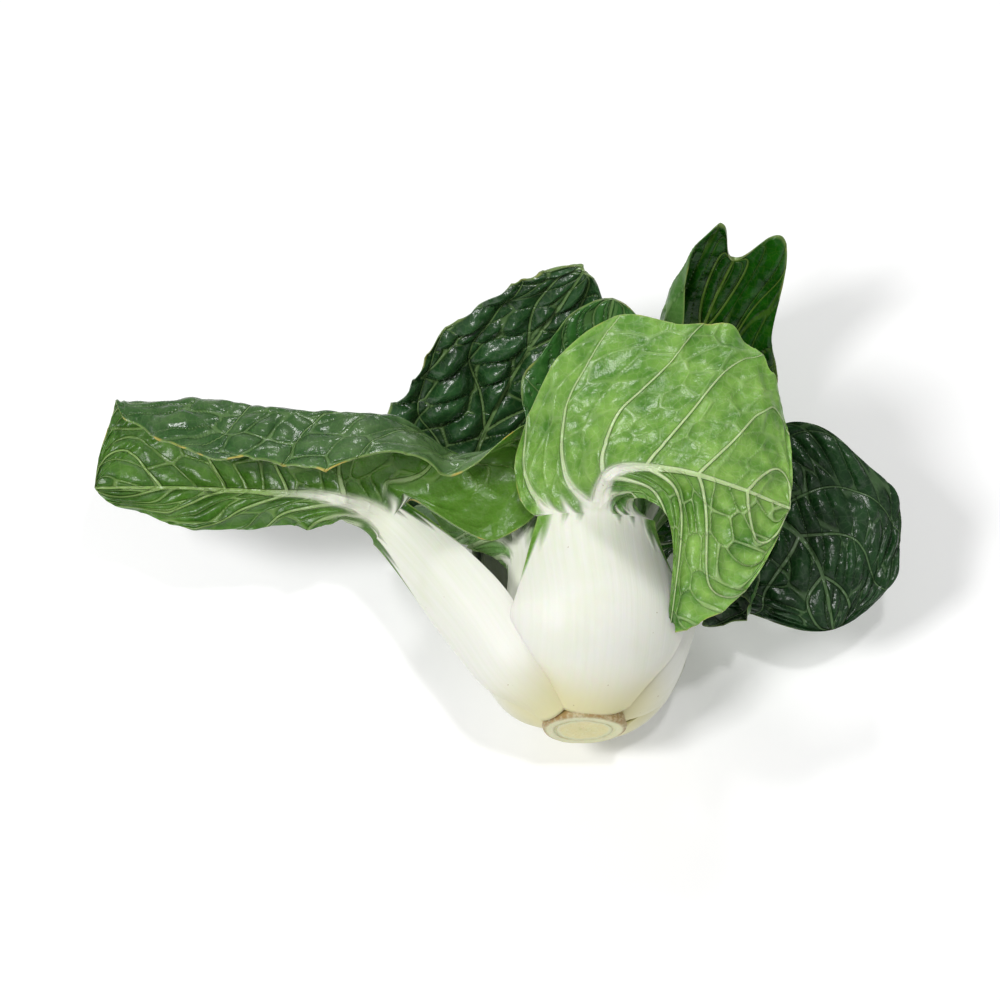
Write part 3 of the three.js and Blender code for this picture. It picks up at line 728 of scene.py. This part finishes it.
# Crinkled leaf at the back, on the left: an old dark blade on a stalk that the bulb hides. Its
# glossy upper side faces the front, deeply puckered between a net of pale veins.
grow({
    **LEAF, "name": "under_left", "seed": 2.2, "fine": (260, 124),
    "azimuth": (214, 214), "facing": 222, "foot": (10, 0.5), "neck": (31, 54), "belly": 32,
    "half": 24, "thick": 8,
    "rib": [(-30, 76, 3), (-31, 97, 1), (-18, 115, 27), (1, 126, 62)],
    "under": [(-0.2, 0.1, -1), (-0.05, 0.4, -0.95), (0, 0.8, -0.6), (0, 0.95, -0.3)],
    "left": (20, 26, 30, 28, 24), "right": (20, 24, 29, 28, 24), "curl": (0.018, 0.016, 0.014, 0.01, 0.01),
    "lobe": (3, 3), "torn": 0.03, "ruffle": (2.6, 2.8, 0.7),
    "cell": 11, "blister": 3.8, "quilted": True, "wander": 0.3, "net": 0.7,
    "below": ((0.06, 0.16, 0.04, 1), (0.12, 0.25, 0.08, 1), (0.3, 0.42, 0.2, 1)),
    "above": ((0.003, 0.025, 0.003, 1), (0.03, 0.1, 0.03, 1), PALE_VEIN),
})

# Dark leaf on the right: an old blade, almost blue-green above, on a stalk at the bulb's right
# side. It arches over and down, and its margin curls under.
grow({
    **LEAF, "name": "right", "seed": 9.4, "fine": (240, 112),
    "azimuth": (352, 352), "facing": 350, "foot": (10, 1.5), "neck": (37, 54), "belly": 31,
    "half": 23, "thick": 8,
    "rib": [(46, 57, 37), (56, 55, 41), (65, 44, 38), (69, 29, 28)],
    "under": [(0.75, 0.1, -0.65), (0.5, 0.1, -0.85), (0.2, -0.1, -0.95), (-0.2, -0.2, -0.95)],
    "left": (18, 26, 34, 34, 28), "right": (18, 24, 28, 28, 24),
    "curl": (0.016, 0.016, 0.004, -0.012, -0.018),
    "lobe": (2, 2), "torn": 0.03, "ruffle": (2.4, 2.5, 0.5),
    "cell": 9, "blister": 2, "quilted": True, "wander": 0.25, "net": 0.6, "shine": 0.35,
    "below": ((0.05, 0.15, 0.03, 1), (0.1, 0.22, 0.06, 1), (0.28, 0.4, 0.18, 1)),
    "above": ((0.002, 0.014, 0.003, 1), (0.014, 0.06, 0.014, 1), (0.14, 0.25, 0.1, 1)),
})

# Inner leaves: three shorter ones that fill the head between the outer stalks, and two small
# heart leaves, the youngest and palest, at the middle. They grow from higher up the stem.
INNER = {
    **LEAF, "fine": (140, 70), "lobe": (2, 2), "torn": 0.04, "relief": 1, "cell": 6.5, "blister": 0.7,
    "net": 0.35,
    "below": ((0.1, 0.26, 0.04, 1), (0.18, 0.36, 0.08, 1), (0.4, 0.55, 0.24, 1)),
    "above": ((0.02, 0.1, 0.015, 1), (0.05, 0.17, 0.03, 1), PALE_VEIN),
}
HEART = {
    **INNER, "slot": "young_blade", "fine": (90, 50), "lobe": (1, 1), "cell": 5, "blister": 0.4,
    "below": ((0.25, 0.45, 0.08, 1), (0.4, 0.6, 0.16, 1), (0.6, 0.72, 0.35, 1)),
    "above": ((0.14, 0.34, 0.05, 1), (0.25, 0.46, 0.09, 1), (0.4, 0.55, 0.2, 1)),
}
grow({
    **INNER, "name": "inner_left", "seed": 3.3,
    "azimuth": (142, 142), "facing": 138, "foot": (8.5, 4), "neck": (22, 45), "belly": 23,
    "half": 15, "thick": 6.5,
    "rib": [(-20, 56, 44), (-25, 65, 41), (-28, 73, 37), (-30, 80, 33)],
    "under": [(-0.4, -0.2, 0.9), (-0.3, -0.2, 0.9), (-0.2, -0.1, 1), (-0.1, 0.2, 1)],
    "left": (12, 14, 18, 18, 15), "right": (12, 14, 15, 13, 11), "curl": (0.03, 0.03, 0.02, 0.016, 0.016),
    "ruffle": (1.4, 2.2, 0.3),
})
grow({
    **INNER, "name": "inner_under", "seed": 5.9,
    "azimuth": (262, 262), "facing": 262, "foot": (8.5, 5.5), "neck": (19, 48), "belly": 21,
    "half": 16, "thick": 6.5,
    "rib": [(-1, 67, 24), (2, 85, 35), (5, 101, 49), (9, 114, 65)],
    "under": [(-0.1, 0.2, -1), (0, 0.45, -0.9), (0, 0.6, -0.8), (0, 0.7, -0.7)],
    "left": (13, 16, 20, 20, 17), "right": (13, 16, 20, 20, 17), "curl": (0.03, 0.03, 0.024, 0.02, 0.02),
    "ruffle": (1.4, 2.4, 0.6),
})
grow({
    **INNER, "name": "inner_right", "seed": 8.2,
    "azimuth": (35, 35), "facing": 35, "foot": (7.5, 7), "neck": (18, 46), "belly": 19,
    "half": 14, "thick": 6,
    "rib": [(22, 60, 52), (28, 75, 56), (32, 89, 57), (34, 101, 54)],
    "under": [(0.7, -0.1, 0.6), (0.6, -0.1, 0.75), (0.4, 0, 0.9), (0.3, 0.2, 0.9)],
    "left": (12, 14, 16, 16, 13), "right": (12, 14, 16, 15, 13), "curl": (0.034, 0.034, 0.024, 0.02, 0.02),
    "ruffle": (1.4, 2.2, 0.8),
})
grow({
    **HEART, "name": "heart_left", "seed": 6.6,
    "azimuth": (176, 176), "facing": 176, "foot": (5, 10), "neck": (8, 38), "belly": 10.5,
    "half": 9, "thick": 4,
    "rib": [(-7, 49, 36), (-6, 59, 37), (-5, 68, 38), (-4, 76, 38)],
    "under": [(-1, -0.1, 0.1), (-0.95, -0.1, 0.2), (-0.9, -0.1, 0.4), (-0.9, 0, 0.5)],
    "left": (6, 7, 10, 10, 8), "right": (6, 7, 10, 10, 8), "curl": (0.07, 0.07, 0.06, 0.05, 0.05),
    "relief": 0.5, "ruffle": (0.6, 2, 0),
})
grow({
    **HEART, "name": "heart_right", "seed": 0.9,
    "azimuth": (318, 318), "facing": 318, "foot": (4.5, 11), "neck": (6, 36), "belly": 8,
    "half": 7, "thick": 3.5,
    "rib": [(6, 46, 33), (7, 55, 35), (7, 64, 37), (6, 72, 39)],
    "under": [(0.8, 0.1, -0.6), (0.8, 0.1, -0.6), (0.9, 0, -0.4), (0.9, 0, -0.4)],
    "left": (5, 6, 8, 8, 6), "right": (5, 6, 8, 8, 6), "curl": (0.08, 0.08, 0.07, 0.06, 0.06),
    "relief": 0.4, "ruffle": (0.5, 2, 0.5),
})

# Studio: a plain pale floor under soft lights. The key is above on the left, a small one nearly
# overhead makes glints, a broad weak one fills from the right, and one from behind edges the leaves.
FLOOR_HALF = 3000
FLOOR_GLOW = 0.07
WORLD_LIGHT = 0.34
LIGHTS_AIM = Vector((0, 0, 0.04))
floor_finish, ask, place, shader = material(
    "pale floor", Base_Color=(0.96, 0.96, 0.96, 1), Emission_Color=(1, 1, 1, 1), Emission_Strength=FLOOR_GLOW
)
(0.5 + 0.1 * ask.noise(place, 3)).feed(shader, "Roughness")
corners = [(-FLOOR_HALF, -FLOOR_HALF, 0), (FLOOR_HALF, -FLOOR_HALF, 0)]
corners += [(FLOOR_HALF, FLOOR_HALF, 0), (-FLOOR_HALF, FLOOR_HALF, 0)]
surface("floor", np.array(corners, float), [(0, 1, 2, 3)], floor_finish)


def soft_light(name, power, size, spot):
    """A square light, its power in watts and its size and place in metres, that faces the head."""
    lamp = bpy.data.lights.new(name, "AREA")
    lamp.energy = power
    lamp.size = size
    holder = bpy.data.objects.new(name, lamp)
    bpy.context.scene.collection.objects.link(holder)
    holder.location = spot
    holder.rotation_euler = (LIGHTS_AIM - Vector(spot)).to_track_quat("-Z", "Y").to_euler()


soft_light("key", 4.7, 0.2, (-0.45, -0.3, 0.8))
soft_light("sparkle", 1.4, 0.05, (0.1, -0.15, 0.9))
soft_light("fill", 0.6, 0.6, (0.7, -0.5, 0.6))
soft_light("back", 2.6, 0.18, (0.15, 0.75, 0.75))
world = bpy.data.worlds.new("studio")
bpy.context.scene.world = world
world.use_nodes = True
world.node_tree.nodes["Background"].inputs["Color"].default_value = (1, 1, 1, 1)
world.node_tree.nodes["Background"].inputs["Strength"].default_value = WORLD_LIGHT
bpy.context.scene.view_settings.view_transform = "Standard"

# Camera: a long lens that looks down on the head as it lies, with the stem nearest and the leaf
# tips pointing away.
CAMERA_RISE = math.radians(60)
CAMERA_BACK = 0.78
CAMERA_AIM = Vector((0, 0, 0.035))
CAMERA_LENS = 100
lens = bpy.data.cameras.new("camera")
lens.lens = CAMERA_LENS
camera = bpy.data.objects.new("camera", lens)
bpy.context.scene.collection.objects.link(camera)
back = Vector((0, -math.cos(CAMERA_RISE), math.sin(CAMERA_RISE)))
camera.location = CAMERA_AIM + CAMERA_BACK * back
camera.rotation_euler = (-back).to_track_quat("-Z", "Y").to_euler()
bpy.context.scene.camera = camera
